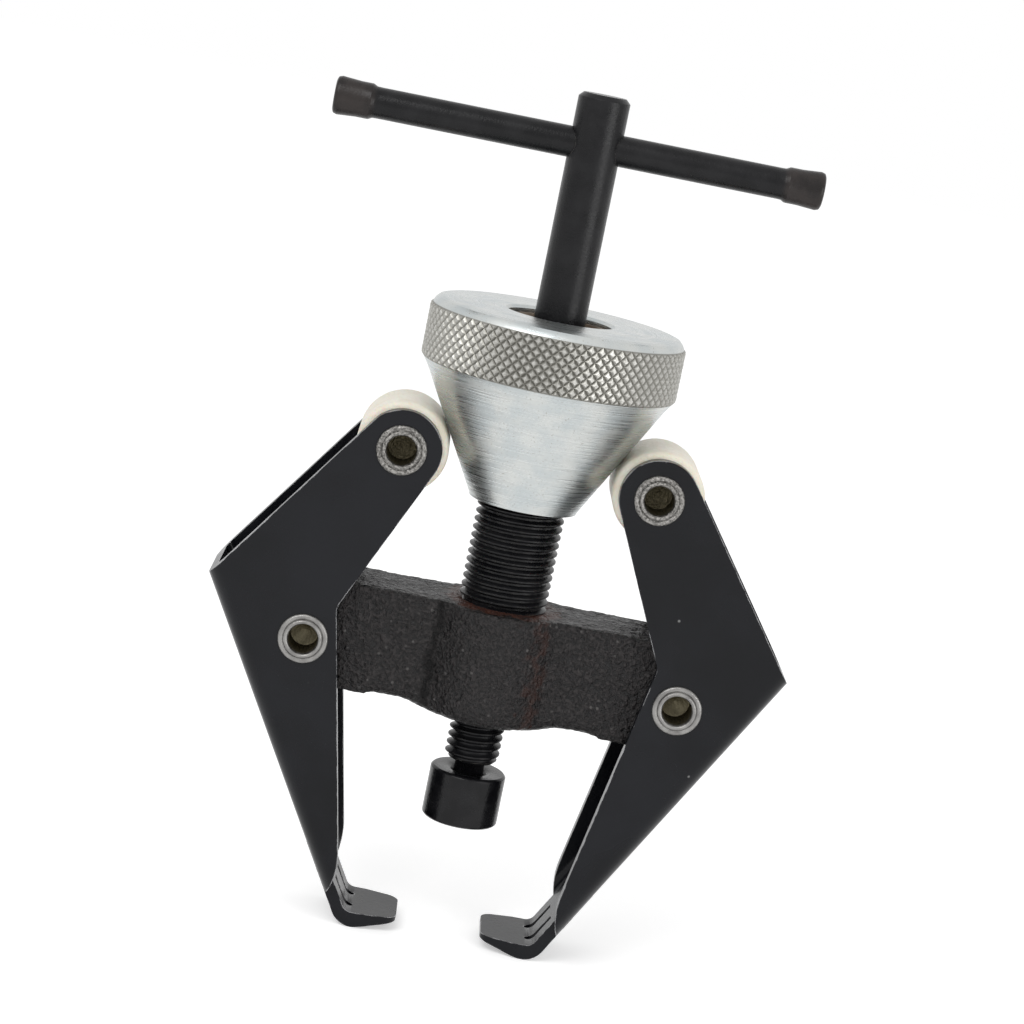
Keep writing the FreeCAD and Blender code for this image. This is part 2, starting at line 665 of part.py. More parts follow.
def arm(name, x, turned):
    """Sheet steel folded to a channel: two plates joined by a web that ends in the jaw."""
    body = new_body(name)
    side = sketch_on(body, "XZ_Plane", "side")
    plate_outline(side)
    pad(body, side, "arm_width")
    slope = math.radians(amount_of("web_slope"))
    web_normal = FreeCAD.Vector(math.cos(slope), 0, math.sin(slope))
    elbow = FreeCAD.Vector(-amount_of("elbow_out"), 0, amount_of("elbow_up"))

    def along_web(edge, depth):
        """True for a straight edge that runs down the web, so deep inside its outer face."""
        middle = edge.CenterOfMass
        return (
            is_straight(edge)
            and edge.BoundBox.YLength < 1e-6
            and all(abs((v.Point - elbow).dot(web_normal) - depth) < 1e-4 for v in edge.Vertexes)
            and abs(middle.y) > amount_of("fold_radius")
        )

    ease(body, "Fillet", "Radius", "fold_radius", lambda edge: along_web(edge, 0))

    # the room between the plates
    channel = sketch_on(body, "XZ_Plane", "channel")
    high = "eye_up + 2 * eye_radius"
    low = "-(jaw_top_down + eye_radius)"
    far = f"{EYE_IN} + 4 * eye_radius"
    polygon(channel, [
        (on_web(high, "arm_stock"), high),
        (on_web(low, "arm_stock"), low),
        (far, low),
        (far, high),
    ])
    cut(body, channel, SLOT_WIDTH)
    stock = amount_of("arm_stock")
    ease(body, "Fillet", "Radius", "fold_radius - arm_stock", lambda edge: along_web(edge, stock))
    corner = FreeCAD.Vector(amount_of("corner_in"), 0, amount_of("corner_up"))
    ease(body, "Fillet", "Radius", "corner_round",
         lambda edge: is_straight(edge) and abs(edge.BoundBox.YLength - edge.Length) < 1e-6
         and math.hypot(edge.CenterOfMass.x - corner.x, edge.CenterOfMass.z - corner.z) < 1e-4)

    strip = sketch_on(body, "XZ_Plane", "jaw")
    jaw_outline(strip)
    pad(body, strip, JAW_WIDTH)

    # the claw narrows towards its tip
    taper = sketch_on(body, "XY_Plane", "taper", offset="-jaw_top_down")
    taper_start = f"{JAW_TIP_IN} - jaw_taper_length"
    beyond_tip = f"{JAW_TIP_IN} + jaw_taper_length"
    tip_half_width = f"({JAW_WIDTH} / 2 - jaw_narrowing)"
    for sign in ("", "-"):
        polygon(taper, [
            (taper_start, f"{sign}{JAW_WIDTH} / 2"),
            (JAW_TIP_IN, f"{sign}{tip_half_width}"),
            (beyond_tip, f"{sign}{tip_half_width}"),
            (beyond_tip, f"{sign}{JAW_WIDTH}"),
            (taper_start, f"{sign}{JAW_WIDTH}"),
        ])
    cut(body, taper, "4 * jaw_bend_outside")

    # two pressed grooves run down the strip into the bend
    for sign in (1, -1):
        bead = body.newObject("PartDesign::SubtractiveCylinder", f"{name}_bead")
        bind(bead, "Radius", "bead_radius")
        bind(bead, "Height", "bead_length")
        lean = FreeCAD.Rotation(FreeCAD.Vector(0, -1, 0), amount_of("web_slope"))
        bead.Placement = FreeCAD.Placement(FreeCAD.Vector(), lean)
        lowest = "-(jaw_top_down + bead_depth)"
        axis_in = "arm_stock + bead_radius - bead_depth"
        bind(bead, "Placement.Base.x", on_web(lowest, axis_in))
        bind(bead, "Placement.Base.y", f"{sign} * bead_spacing / 2")
        bind(bead, "Placement.Base.z", lowest)
        bind(bead, "Placement.Rotation.Angle", "web_slope * 1deg")
        doc.recompute()

    holes = sketch_on(body, "XZ_Plane", "rivet_holes")
    circle(holes, "0", "0", "rivet_radius + rivet_clearance")
    circle(holes, EYE_IN, "eye_up", "rivet_radius + rivet_clearance")
    cut(body, holes)
    place(body, x=x, z="pivot_height", turned=turned)
    return body


# Rollers and rivets -----------------------------------------------------------------------------


def roller(name, x):
    body = new_body(name)
    half = f"({SLOT_WIDTH} / 2 - side_clearance)"
    bore = "rivet_radius + running_clearance"
    turn(body, "XY_Plane", "profile", [
        (bore, f"-{half}"),
        ("roller_radius - roller_edge", f"-{half}"),
        ("roller_radius", f"roller_edge - {half}"),
        ("roller_radius", f"{half} - roller_edge"),
        ("roller_radius - roller_edge", half),
        (bore, half),
    ])
    place(body, x=x, z=AXLE_HEIGHT)
    return body


def rivet(name, x, z):
    """A shank drilled at both ends, each end rolled over to a rounded head against its plate."""
    body = new_body(name)
    under = "arm_width / 2"
    over = "(arm_width / 2 + rivet_head_height)"
    round_off = "rivet_head_height / 2"
    half_profile = [
        ("0", f"{over} - rivet_hole_depth"),
        (RIVET_BORE_RADIUS, f"{over} - rivet_hole_depth"),
        (RIVET_BORE_RADIUS, f"{over} - rivet_mouth"),
        (f"{RIVET_BORE_RADIUS} + rivet_mouth", over),
        (f"{RIVET_HEAD_RADIUS} - {round_off}", over),
        (RIVET_HEAD_RADIUS, f"{over} - {round_off}"),
        (RIVET_HEAD_RADIUS, under),
        ("rivet_radius", under),
    ]
    mirrored = [(radius, f"-({along})") for radius, along in reversed(half_profile)]
    turn(body, "XY_Plane", "profile", half_profile + mirrored)
    place(body, x=x, z=z)
    return body


parts = [
    crossbar(),
    spindle(),
    forcing_screw(),
    tommy_bar(),
    pressure_pad(),
    cone_nut(),
    arm("left_arm", "-pivot_half_span", 0),
    arm("right_arm", "pivot_half_span", 180),
    roller("left_roller", "-axle_half_span"),
    roller("right_roller", "axle_half_span"),
    rivet("left_roller_rivet", "-axle_half_span", AXLE_HEIGHT),
    rivet("right_roller_rivet", "axle_half_span", AXLE_HEIGHT),
    rivet("left_pivot_rivet", "-pivot_half_span", "pivot_height"),
    rivet("right_pivot_rivet", "pivot_half_span", "pivot_height"),
]

doc.recompute()
for thing in doc.Objects:
    if {"Invalid", "Error"} & set(thing.State):
        raise RuntimeError(f"{thing.Name} failed: {thing.State}")

os.makedirs("parts", exist_ok=True)
for part in parts:
    if part.Shape.isNull() or not part.Shape.isValid():
        raise RuntimeError(f"{part.Label} has no valid shape")
    if len(part.Shape.Solids) != 1:
        raise RuntimeError(f"{part.Label} is {len(part.Shape.Solids)} solids")
    part.Shape.exportStep(f"parts/{part.Label}.step")
    box = part.Shape.BoundBox
    print(f"{part.Label}: {part.Shape.Volume:.0f} mm3, x {box.XMin:.2f} {box.XMax:.2f},"
          f" y {box.YMin:.2f} {box.YMax:.2f}, z {box.ZMin:.2f} {box.ZMax:.2f}")
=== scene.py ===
# %% [markdown]
# # A small jaw puller, finished for the camera
#
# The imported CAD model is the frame: it says where every piece is and what it moves with. This lesson
# gives each piece the surface that the real one has. Where a finish is too deep for a bump, such as a
# screw thread, a diamond knurl or a rough casting, it is modelled, and the new piece stands for the
# CAD one.

# %% Load the frame
import json
import math

import bmesh
import bpy
from mathutils import Matrix, Vector

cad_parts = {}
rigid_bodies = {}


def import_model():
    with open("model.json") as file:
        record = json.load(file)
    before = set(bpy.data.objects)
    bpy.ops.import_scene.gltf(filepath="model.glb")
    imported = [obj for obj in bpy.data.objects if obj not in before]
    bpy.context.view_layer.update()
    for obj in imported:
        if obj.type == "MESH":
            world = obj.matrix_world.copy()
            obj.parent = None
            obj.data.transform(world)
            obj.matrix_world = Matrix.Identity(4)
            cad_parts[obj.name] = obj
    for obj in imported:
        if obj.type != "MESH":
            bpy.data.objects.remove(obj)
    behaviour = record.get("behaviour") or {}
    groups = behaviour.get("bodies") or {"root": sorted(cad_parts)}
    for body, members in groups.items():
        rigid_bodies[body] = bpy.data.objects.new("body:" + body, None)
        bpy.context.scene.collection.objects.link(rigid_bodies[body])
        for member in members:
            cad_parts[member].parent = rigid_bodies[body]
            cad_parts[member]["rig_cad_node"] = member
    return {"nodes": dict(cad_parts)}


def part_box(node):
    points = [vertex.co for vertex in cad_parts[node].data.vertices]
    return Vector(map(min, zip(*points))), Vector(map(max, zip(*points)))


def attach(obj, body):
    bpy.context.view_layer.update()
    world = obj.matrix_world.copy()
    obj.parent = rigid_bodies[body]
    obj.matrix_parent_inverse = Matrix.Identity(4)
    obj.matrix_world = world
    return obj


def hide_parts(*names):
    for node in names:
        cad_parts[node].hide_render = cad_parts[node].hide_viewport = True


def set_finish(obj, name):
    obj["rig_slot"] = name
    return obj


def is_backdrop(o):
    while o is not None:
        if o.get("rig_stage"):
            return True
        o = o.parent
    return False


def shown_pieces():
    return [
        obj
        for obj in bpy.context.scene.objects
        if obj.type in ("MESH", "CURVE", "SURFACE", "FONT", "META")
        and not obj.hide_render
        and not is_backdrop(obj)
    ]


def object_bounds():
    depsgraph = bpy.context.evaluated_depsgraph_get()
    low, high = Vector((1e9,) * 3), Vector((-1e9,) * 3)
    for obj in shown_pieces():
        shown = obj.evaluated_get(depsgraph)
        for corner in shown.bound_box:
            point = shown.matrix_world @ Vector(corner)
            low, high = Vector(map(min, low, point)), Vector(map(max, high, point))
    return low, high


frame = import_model()
cad_low, cad_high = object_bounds()
MM = 0.001
print("CAD box in mm:", [round(v / MM, 2) for v in (*cad_low, *cad_high)])

# %% [markdown]
# ## Working by hand, in code
#
# Every new piece is made with the operators that a modeller uses: add a primitive, go into edit mode,
# select something, act on it. An operator acts on all that is selected, so each helper starts by
# letting go of everything else.


# %% Take hold of one piece
def alone(piece):
    """Select only this piece and make it the active one."""
    bpy.ops.object.select_all(action="DESELECT")
    piece.select_set(True)
    bpy.context.view_layer.objects.active = piece
    return piece


def choose(piece, kind, test):
    """In edit mode, select only the verts, edges or faces that pass the test."""
    bpy.ops.mesh.select_mode(type={"verts": "VERT", "edges": "EDGE", "faces": "FACE"}[kind])
    bpy.ops.mesh.select_all(action="DESELECT")
    cage = bmesh.from_edit_mesh(piece.data)
    chosen = [part for part in getattr(cage, kind) if test(part)]
    for part in chosen:
        part.select_set(True)
    bmesh.update_edit_mesh(piece.data)
    return len(chosen)


def apply_modifier(piece, kind, **settings):
    """Add a modifier, give it its settings and apply it."""
    alone(piece)
    modifier = piece.modifiers.new(kind.lower(), kind)
    for setting, value in settings.items():
        setattr(modifier, setting, value)
    bpy.ops.object.modifier_apply(modifier=modifier.name)


def soften(piece, width, segments=2, angle=32):
    """Round every edge sharper than the angle and shade smooth, with the large faces kept flat."""
    apply_modifier(piece, "BEVEL", width=width, segments=segments, limit_method="ANGLE",
                   angle_limit=math.radians(angle))
    bpy.ops.object.shade_smooth_by_angle(angle=math.radians(angle))
    apply_modifier(piece, "WEIGHTED_NORMAL", keep_sharp=True)


# %% [markdown]
# A turned piece is drawn as a lathe cuts it: one ring of vertices is extruded along the axis and
# scaled to each new radius. Spin would do the same from half an outline, but a ring keeps its
# vertices in line all the way up, which the knurl needs later.


# %% Turn a piece on the lathe
def turned(name, outline, segments=96, hollow=True):
    """A round piece about the Z axis from (radius, height) pairs. A hollow outline closes on itself."""
    radius, height = outline[0]
    bpy.ops.object.select_all(action="DESELECT")
    bpy.ops.mesh.primitive_circle_add(vertices=segments, radius=radius, location=(0, 0, height))
    piece = bpy.context.object
    piece.name = name
    bpy.ops.object.transform_apply(location=True, rotation=False, scale=False)
    bpy.ops.object.mode_set(mode="EDIT")
    bpy.ops.mesh.select_mode(type="VERT")
    bpy.ops.mesh.select_all(action="SELECT")
    stations = outline[1:] + outline[:1] if hollow else outline[1:]
    for next_radius, next_height in stations:
        step = (0, 0, next_height - height)
        bpy.ops.mesh.extrude_region_move(TRANSFORM_OT_translate={"value": step})
        grow = next_radius / radius
        bpy.ops.transform.resize(value=(grow, grow, 1), center_override=(0, 0, 0))
        radius, height = next_radius, next_height
    bpy.ops.mesh.select_all(action="SELECT")
    if hollow:
        bpy.ops.mesh.remove_doubles(threshold=0.001 * MM)
    else:
        bpy.ops.mesh.fill_holes(sides=0)
    bpy.ops.mesh.normals_make_consistent(inside=False)
    bpy.ops.object.mode_set(mode="OBJECT")
    return piece


def shift(piece, to):
    """Move a piece and write its new place into its mesh."""
    alone(piece)
    bpy.ops.transform.translate(value=to)
    bpy.ops.object.transform_apply(location=True, rotation=True, scale=True)
    return piece


def lay_along(piece, axis):
    """Lay a piece that was turned about Z along X or Y."""
    alone(piece)
    bpy.ops.transform.rotate(value=math.pi / 2, orient_axis={"Y": "X", "X": "Y"}[axis],
                             center_override=(0, 0, 0))
    bpy.ops.object.transform_apply(location=True, rotation=True, scale=True)
    return piece


def copied(piece, name):
    """A second piece like the first, with its own mesh."""
    alone(piece)
    bpy.ops.object.duplicate(linked=False)
    twin = bpy.context.object
    twin.name = name
    return twin


def joined(*pieces):
    """Several meshes as one piece, named after the first."""
    alone(pieces[0])
    for piece in pieces[1:]:
        piece.select_set(True)
    bpy.ops.object.join()
    return bpy.context.object


def carve(piece, tool, operation):
    """Boolean with a tool that is used up."""
    apply_modifier(piece, "BOOLEAN", object=tool, operation=operation, solver="EXACT")
    bpy.data.objects.remove(tool, do_unlink=True)


def hand_over(piece, node, body, slot):
    """The piece stands for a CAD node: it moves with its body and takes its finish."""
    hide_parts(node)
    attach(piece, body)
    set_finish(piece, slot)
    print(piece.name, "stands for", node, "with", len(piece.data.polygons), "faces")


# %% [markdown]
# ## Screw threads
#
# A thread is a groove that climbs. One tooth's outline, one pitch high, is drawn point by point, and
# the Screw modifier winds it round the axis so that each turn starts where the last one ended. Two
# bisects square the ends off, and what is left is a solid threaded rod.


# %% Wind a thread
def threaded_rod(name, radius, pitch, low, high, steps=48):
    """A solid rod with a right-hand thread, cut square at both heights."""
    depth = 0.56 * pitch
    flank = (0.25, 0.85 * depth)
    crown = (0.08, 0.15 * depth)
    legs = [(0.1, 0), flank, crown, (0.14, 0), (0.08, -crown[1]), (0.25, -flank[1]), (0.1, 0)]
    bpy.ops.object.select_all(action="DESELECT")
    start = (radius - depth, 0, low - 2.3 * pitch)
    bpy.ops.mesh.primitive_plane_add(size=pitch, location=start)
    rod = bpy.context.object
    rod.name = name
    bpy.ops.object.transform_apply(location=True, rotation=False, scale=False)
    bpy.ops.object.mode_set(mode="EDIT")
    bpy.ops.mesh.select_mode(type="VERT")
    bpy.ops.mesh.select_all(action="SELECT")
    bpy.ops.mesh.merge(type="CENTER")
    for climb, out in legs:
        step = (out, 0, climb * pitch)
        bpy.ops.mesh.extrude_region_move(TRANSFORM_OT_translate={"value": step})
    bpy.ops.object.mode_set(mode="OBJECT")
    turns = math.ceil((high - low) / pitch) + 5
    apply_modifier(rod, "SCREW", axis="Z", angle=2 * math.pi, screw_offset=pitch, iterations=turns,
                   steps=steps, render_steps=steps)
    bpy.ops.object.mode_set(mode="EDIT")
    bpy.ops.mesh.select_all(action="SELECT")
    bpy.ops.mesh.remove_doubles(threshold=0.002 * MM)
    for height, upward in ((low, -1), (high, 1)):
        bpy.ops.mesh.select_all(action="SELECT")
        bpy.ops.mesh.bisect(plane_co=(0, 0, height), plane_no=(0, 0, upward), clear_outer=True,
                            threshold=0.0001 * MM)
    bpy.ops.mesh.select_all(action="SELECT")
    bpy.ops.mesh.fill_holes(sides=0)
    bpy.ops.mesh.normals_make_consistent(inside=False)
    bpy.ops.object.mode_set(mode="OBJECT")
    return rod


# %% [markdown]
# ## The spindle
#
# The spindle is a hollow post. Its thread is wound first, then the lathe's envelope trims it: what
# lies inside both is kept, which gives the bevelled lead-in at the top, and a plain core leaves the
# bore. Its plain end, hidden in the casting, is a turned sleeve.

# %% Sizes that several pieces share
THREAD_PITCH = 1.5 * MM
SCREW_THREAD_RADIUS = 4.95 * MM
SPINDLE_BORE = 5.3 * MM
spindle_low, spindle_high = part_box("spindle")
bar_low, bar_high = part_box("crossbar")
spindle_radius = spindle_high.x
bar_top = bar_high.z
print("spindle radius in mm:", round(spindle_radius / MM, 2))

# %% Thread, trim and bore the spindle
spindle = threaded_rod("threaded_spindle", spindle_radius, THREAD_PITCH, bar_top - 0.4 * MM,
                       spindle_high.z, steps=64)
LEAD_IN = 0.9 * MM
envelope = turned("envelope", [
    (spindle_radius + 0.5 * MM, bar_top - 2 * MM),
    (spindle_radius + 0.5 * MM, spindle_high.z - LEAD_IN - 0.5 * MM),
    (spindle_radius - LEAD_IN, spindle_high.z),
], hollow=False)
carve(spindle, envelope, "INTERSECT")
core = turned("core", [
    (SPINDLE_BORE, bar_top - 3 * MM),
    (SPINDLE_BORE, spindle_high.z + 3 * MM),
], segments=64, hollow=False)
carve(spindle, core, "DIFFERENCE")
tapped_radius = SCREW_THREAD_RADIUS + 0.06 * MM
tenon_radius = spindle_radius - 0.95 * MM
tenon_top = bar_top - 0.2 * MM
tenon = turned("tenon", [
    (tapped_radius, spindle_low.z),
    (tenon_radius, spindle_low.z),
    (tenon_radius, tenon_top),
    (tapped_radius, tenon_top),
], segments=64)
spindle = joined(spindle, tenon)
alone(spindle)
bpy.ops.object.shade_smooth_by_angle(angle=math.radians(28))
hand_over(spindle, "spindle", "yoke", "black_oxide_steel")

# %% [markdown]
# ## The forcing screw
#
# Below, the same thread at a smaller size. Above, a plain shaft with a cross hole for the tommy bar,
# and at the foot a headed neck that the pad hangs on.

# %% Lower thread
screw_low, screw_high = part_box("forcing_screw")
bar_box_low, bar_box_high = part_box("tommy_bar")
pad_low, pad_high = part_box("pressure_pad")
THREAD_FOOT = 11.4 * MM
THREAD_END = 74 * MM
screw_thread = threaded_rod("screw_thread", SCREW_THREAD_RADIUS, THREAD_PITCH, THREAD_FOOT,
                            THREAD_END, steps=48)
envelope = turned("envelope", [
    (SCREW_THREAD_RADIUS - 0.9 * MM, THREAD_FOOT - 0.01 * MM),
    (SCREW_THREAD_RADIUS + 0.2 * MM, THREAD_FOOT + 1.1 * MM),
    (SCREW_THREAD_RADIUS + 0.2 * MM, THREAD_END + 1 * MM),
], hollow=False)
carve(screw_thread, envelope, "INTERSECT")

# %% Plain shaft with its cross hole
SHAFT_RADIUS = 4.6 * MM
TOP_CHAMFER = 0.8 * MM
shaft = turned("forcing_screw_shaft", [
    (SHAFT_RADIUS, THREAD_END - 0.5 * MM),
    (SHAFT_RADIUS, screw_high.z - TOP_CHAMFER),
    (SHAFT_RADIUS - TOP_CHAMFER, screw_high.z),
], segments=64, hollow=False)
bar_axis = (bar_box_low.z + bar_box_high.z) / 2
TOMMY_RADIUS = 2.75 * MM
hole_radius = TOMMY_RADIUS + 0.1 * MM
hole = lay_along(turned("hole", [
    (hole_radius, -2 * SHAFT_RADIUS),
    (hole_radius, 2 * SHAFT_RADIUS),
], segments=48, hollow=False), "X")
shift(hole, (0, 0, bar_axis))
carve(shaft, hole, "DIFFERENCE")
soften(shaft, 0.15 * MM)

# %% Neck and its head
NECK_RADIUS = 2.7 * MM
NECK_HEAD_RADIUS = 3.5 * MM
NECK_HEAD_HEIGHT = 2 * MM
neck = turned("neck", [
    (NECK_HEAD_RADIUS, screw_low.z),
    (NECK_HEAD_RADIUS, screw_low.z + NECK_HEAD_HEIGHT),
    (NECK_RADIUS, screw_low.z + NECK_HEAD_HEIGHT),
    (NECK_RADIUS, THREAD_FOOT - 0.6 * MM),
    (NECK_RADIUS + 0.6 * MM, THREAD_FOOT + 0.05 * MM),
], segments=48, hollow=False)
forcing_screw = joined(shaft, screw_thread, neck)
forcing_screw.name = "forcing_screw_turned"
alone(forcing_screw)
bpy.ops.object.shade_smooth_by_angle(angle=math.radians(28))
hand_over(forcing_screw, "forcing_screw", "screw", "black_oxide_steel")

# %% [markdown]
# ## The pressure pad
#
# A short plug with crisp bevelled rims. Its top is swaged in around the neck, which leaves a shallow
# dish.

# %% Turn the pad
pad_radius = pad_high.x
PAD_CHAMFER = 0.4 * MM
PAD_PLAY = 0.08 * MM
POLE_RADIUS = 0.5 * MM
throat = NECK_RADIUS + PAD_PLAY
socket_radius = NECK_HEAD_RADIUS + PAD_PLAY
pad = turned("swivel_pad", [
    (POLE_RADIUS, pad_low.z),
    (pad_radius - PAD_CHAMFER, pad_low.z),
    (pad_radius, pad_low.z + PAD_CHAMFER),
    (pad_radius, pad_high.z - PAD_CHAMFER),
    (pad_radius - PAD_CHAMFER, pad_high.z),
    (throat + 1.6 * MM, pad_high.z),
    (throat + 0.5 * MM, pad_high.z - 0.35 * MM),
    (throat, pad_high.z - 1.2 * MM),
    (throat, screw_low.z + NECK_HEAD_HEIGHT + 0.2 * MM),
    (socket_radius, screw_low.z + NECK_HEAD_HEIGHT + 0.1 * MM),
    (socket_radius, screw_low.z - PAD_PLAY),
    (POLE_RADIUS, screw_low.z - PAD_PLAY),
], hollow=False)
soften(pad, 0.1 * MM, angle=25)
hand_over(pad, "pressure_pad", "pad", "black_oxide_steel")

# %% [markdown]
# ## The tommy bar
#
# A round bar whose ends are upset into flares and then hammered, so that they are a little flatter
# one way and no longer true. The bar is turned, and its ends are squeezed in edit mode.

# %% Turn the bar and hammer its ends
half_bar = (bar_box_high.x - bar_box_low.x) / 2
bar_centre = (bar_box_high.x + bar_box_low.x) / 2
FLARE_RADIUS = 3.5 * MM
one_end = [
    (FLARE_RADIUS - 0.75 * MM, half_bar),
    (FLARE_RADIUS - 0.2 * MM, half_bar - 0.25 * MM),
    (FLARE_RADIUS, half_bar - 0.9 * MM),
    (FLARE_RADIUS - 0.25 * MM, half_bar - 4.2 * MM),
    (FLARE_RADIUS - 0.35 * MM, half_bar - 6.4 * MM),
    (TOMMY_RADIUS + 0.03 * MM, half_bar - 7.1 * MM),
    (TOMMY_RADIUS, half_bar - 8 * MM),
]
other_end = [(radius, -height) for radius, height in reversed(one_end)]
tommy_bar = lay_along(turned("tommy_bar_upset", one_end + other_end, segments=48, hollow=False), "X")
bpy.ops.object.mode_set(mode="EDIT")
for side in (-1, 1):
    choose(tommy_bar, "verts", lambda v: side * v.co.x > half_bar - 5 * MM)
    bpy.ops.transform.resize(value=(1, 0.84, 0.97), center_override=(side * half_bar, 0, 0))
bpy.ops.object.mode_set(mode="OBJECT")
shift(tommy_bar, (bar_centre, 0, bar_axis))
soften(tommy_bar, 0.12 * MM, angle=25)
hand_over(tommy_bar, "tommy_bar", "handle", "black_oxide_steel")

# %% [markdown]
# ## The cone nut
#
# One turned blank: a cone, a disc and a ringed mouth where the thread runs out. Its rim is knurled
# the way that it looks on the machine: two sets of slanting grooves leave diamonds. Poking a grid of
# quads and dissolving the grid's own edges turns it into diamonds, and insetting each one with some
# depth raises its crown and leaves the grooves.

# %% Turn the blank
nut_low, nut_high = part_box("cone_nut")
KNURLS_ROUND = 76
KNURL_ROWS = 5
KNURL_DEPTH = 0.4 * MM
KNURL_HEIGHT = 9.6 * MM
disc_radius = nut_high.x
knurl_floor = disc_radius - KNURL_DEPTH
knurl_top = nut_high.z - 1.4 * MM
knurl_low = knurl_top - KNURL_HEIGHT
cone_top = knurl_low - 1.8 * MM
nut_bore = spindle_radius + 0.06 * MM
mouth = spindle_radius + 1.45 * MM
MOUTH_TURNS = 5
RING_WIDTH = 1.2 * MM
mouth_rings = []
for turn in range(MOUTH_TURNS):
    top = nut_high.z - RING_WIDTH - turn * THREAD_PITCH
    mouth_rings += [
        (mouth, top),
        (mouth - 0.45 * MM, top - RING_WIDTH / 2),
        (mouth, top - RING_WIDTH),
    ]
rows = [(knurl_floor, knurl_low + KNURL_HEIGHT * row / KNURL_ROWS) for row in range(KNURL_ROWS + 1)]
nut = turned("knurled_cone_nut", [
    (nut_bore, nut_low.z + 0.5 * MM),
    (nut_bore + 0.5 * MM, nut_low.z),
    (9.3 * MM, nut_low.z),
    (9.75 * MM, nut_low.z + 0.2 * MM),
    (9.95 * MM, nut_low.z + 0.75 * MM),
    (21.4 * MM, cone_top),
    *rows,
    (disc_radius - 0.75 * MM, nut_high.z - 0.75 * MM),
    (disc_radius - 1.3 * MM, nut_high.z - 0.2 * MM),
    (disc_radius - 2 * MM, nut_high.z),
    (mouth + 0.5 * MM, nut_high.z),
    (mouth, nut_high.z - 0.5 * MM),
    *mouth_rings,
    (mouth, nut_high.z - 10 * MM),
    (nut_bore, nut_high.z - 11.4 * MM),
], segments=KNURLS_ROUND)
print("knurl is", round(math.degrees(math.atan2(
    2 * math.pi * disc_radius / KNURLS_ROUND, KNURL_HEIGHT / KNURL_ROWS)), 1), "degrees from the axis")


# %% Knurl the rim
def on_rim(face):
    """True for the quads of the knurled band."""
    middle = face.calc_center_median()
    return abs(face.normal.z) < 0.1 and middle.xy.length > knurl_floor - 0.2 * MM


bpy.ops.object.mode_set(mode="EDIT")
band = choose(nut, "faces", on_rim)
bpy.ops.mesh.mark_seam(clear=False)
bpy.ops.mesh.poke()
choose(nut, "edges", lambda e: e.seam and all(on_rim(f) for f in e.link_faces))
bpy.ops.mesh.dissolve_edges(use_verts=False, use_face_split=False)
choose(nut, "faces", on_rim)
bpy.ops.mesh.inset(thickness=0.13 * MM, depth=0.1 * MM, use_individual=True)
bpy.ops.mesh.inset(thickness=0.26 * MM, depth=0.28 * MM, use_individual=True)
bpy.ops.mesh.select_all(action="SELECT")
bpy.ops.mesh.mark_seam(clear=True)
bpy.ops.object.mode_set(mode="OBJECT")
bpy.ops.object.shade_smooth_by_angle(angle=math.radians(24))
print("quads knurled:", band)
hand_over(nut, "cone_nut", "nut", "zinc_plated_steel")

# %% [markdown]
# ## The crossbar
#
# A rough iron casting has no sharp edge and no flat face. A copy of the CAD bar is rebuilt in small
# even voxels, smoothed so that its edges go round, and pushed by two sizes of noise. Nearly all of the
# push is inwards, so that the arms still clear it. The boss's foot is smoothed more, because the real
# one runs into the bar's underside in one long curve.


# %% Copy a CAD node as a clean mesh
def copy_of_node(node, name):
    """A piece shaped like a CAD node, with its loose triangles merged and its flats made whole."""
    piece = copied(frame["nodes"][node], name)
    del piece["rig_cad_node"]
    piece.parent = None
    bpy.ops.object.mode_set(mode="EDIT")
    bpy.ops.mesh.select_all(action="SELECT")
    bpy.ops.mesh.remove_doubles(threshold=0.002 * MM)
    bpy.ops.mesh.dissolve_limited(angle_limit=math.radians(0.5))
    bpy.ops.object.mode_set(mode="OBJECT")
    return piece


# %% Cast the bar
casting = copy_of_node("crossbar", "rough_crossbar")
apply_modifier(casting, "REMESH", mode="VOXEL", voxel_size=0.42 * MM)
apply_modifier(casting, "SMOOTH", factor=0.5, iterations=3)
FOOT_REACH = 21 * MM
FOOT_HEIGHT = 3.5 * MM
THROUGH_HOLE = 7.5 * MM
bpy.ops.object.mode_set(mode="EDIT")
under_boss = choose(casting, "verts", lambda v: v.co.z < bar_low.z + FOOT_HEIGHT
                    and abs(v.co.x) < FOOT_REACH and v.co.xy.length > THROUGH_HOLE)
bpy.ops.mesh.vertices_smooth(factor=0.5, repeat=150)
bpy.ops.object.mode_set(mode="OBJECT")
print("vertices smoothed under the boss:", under_boss)
for name, size, depth in (("casting_lumps", 4 * MM, 0.35 * MM), ("casting_grit", 0.9 * MM, 0.32 * MM)):
    texture = bpy.data.textures.new(name, "CLOUDS")
    texture.noise_scale = size
    texture.noise_depth = 2
    apply_modifier(casting, "DISPLACE", texture=texture, strength=depth, mid_level=0.85,
                   texture_coords="LOCAL")
alone(casting)
bpy.ops.object.shade_smooth()
hand_over(casting, "crossbar", "yoke", "rough_casting")

# %% [markdown]
# ## The arms
#
# Each arm is one sheet of steel, blanked, folded and bent. The CAD shape is right except that its
# edges are sharp, and a stamped edge is slightly rolled on every side. The two corners of the claw's
# tip are rounded first. Then a bevel rounds all the edges, which gives them the thin line of light
# that a painted edge has.

# %% Roll the arms' edges
tip_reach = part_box("right_arm")[0].x + 0.01 * MM


def at_tip_corner(edge):
    """True for the two upright edges at the claw's tip."""
    first, second = (v.co for v in edge.verts)
    upright = abs(first.z - second.z) > 0.5 * MM
    return upright and all(abs(co.x) < tip_reach and abs(co.y) > 6 * MM for co in (first, second))


